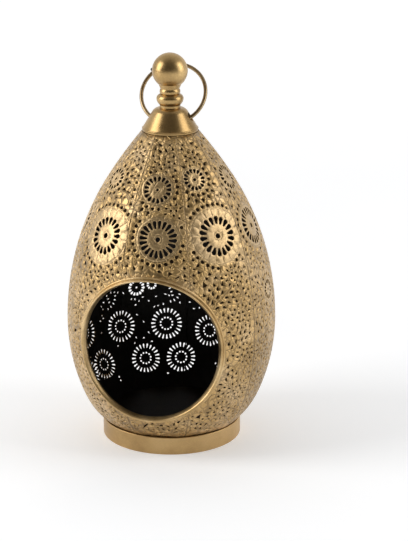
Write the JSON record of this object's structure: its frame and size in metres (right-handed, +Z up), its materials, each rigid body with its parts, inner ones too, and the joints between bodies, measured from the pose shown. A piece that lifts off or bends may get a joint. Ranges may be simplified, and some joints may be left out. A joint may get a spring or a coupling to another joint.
{
  "type": "candle lantern",
  "caption": "Egg-shaped pierced metal candle lantern with a round front opening, plain foot ring, bell cap, ball finial and swinging ring.",
  "frame": {"origin": "centre of the foot ring on the floor", "axes": "+Z up through the finial, -Y out of the round opening, +X to the right seen from the front"},
  "size_m": [0.22, 0.2152, 0.4075],
  "materials": {
    "pierced_sheet": "antique gold patina outside, matte black inside",
    "rim_brass": "satin antique gold",
    "spun_brass": "satin antique gold",
    "ring_wire": "satin antique gold, darker in the bends",
    "black_plate": "matte black",
    "dark_steel": "dark, dull"
  },
  "bodies": {
    "root": {"front_gore_upper": "pierced_sheet", "front_gore_lower": "pierced_sheet", "shell_gore_2": "pierced_sheet", "shell_gore_3": "pierced_sheet", "shell_gore_4": "pierced_sheet", "shell_gore_5": "pierced_sheet", "shell_gore_6": "pierced_sheet", "shell_gore_7": "pierced_sheet", "shell_gore_8": "pierced_sheet", "shell_gore_9": "pierced_sheet", "opening_rim": "rim_brass", "base_ring": "spun_brass", "bell_cap": "spun_brass", "neck_bead": "spun_brass", "ball_finial": "spun_brass", "top_collar": "spun_brass", "candle_plate": "black_plate", "finial_stud": "dark_steel", "stud_washer": "dark_steel", "stud_nut": "dark_steel"},
    "ring": {"ring_handle": "ring_wire", "ring_pin": "dark_steel"}
  },
  "joints": [
    {"name": "ring_swing", "type": "hinge", "parent": "root", "child": "ring", "pos_m": [0, 0, 0.3423], "axis": [-1, 0, 0], "range_deg": [-12, 34]}
  ]
}
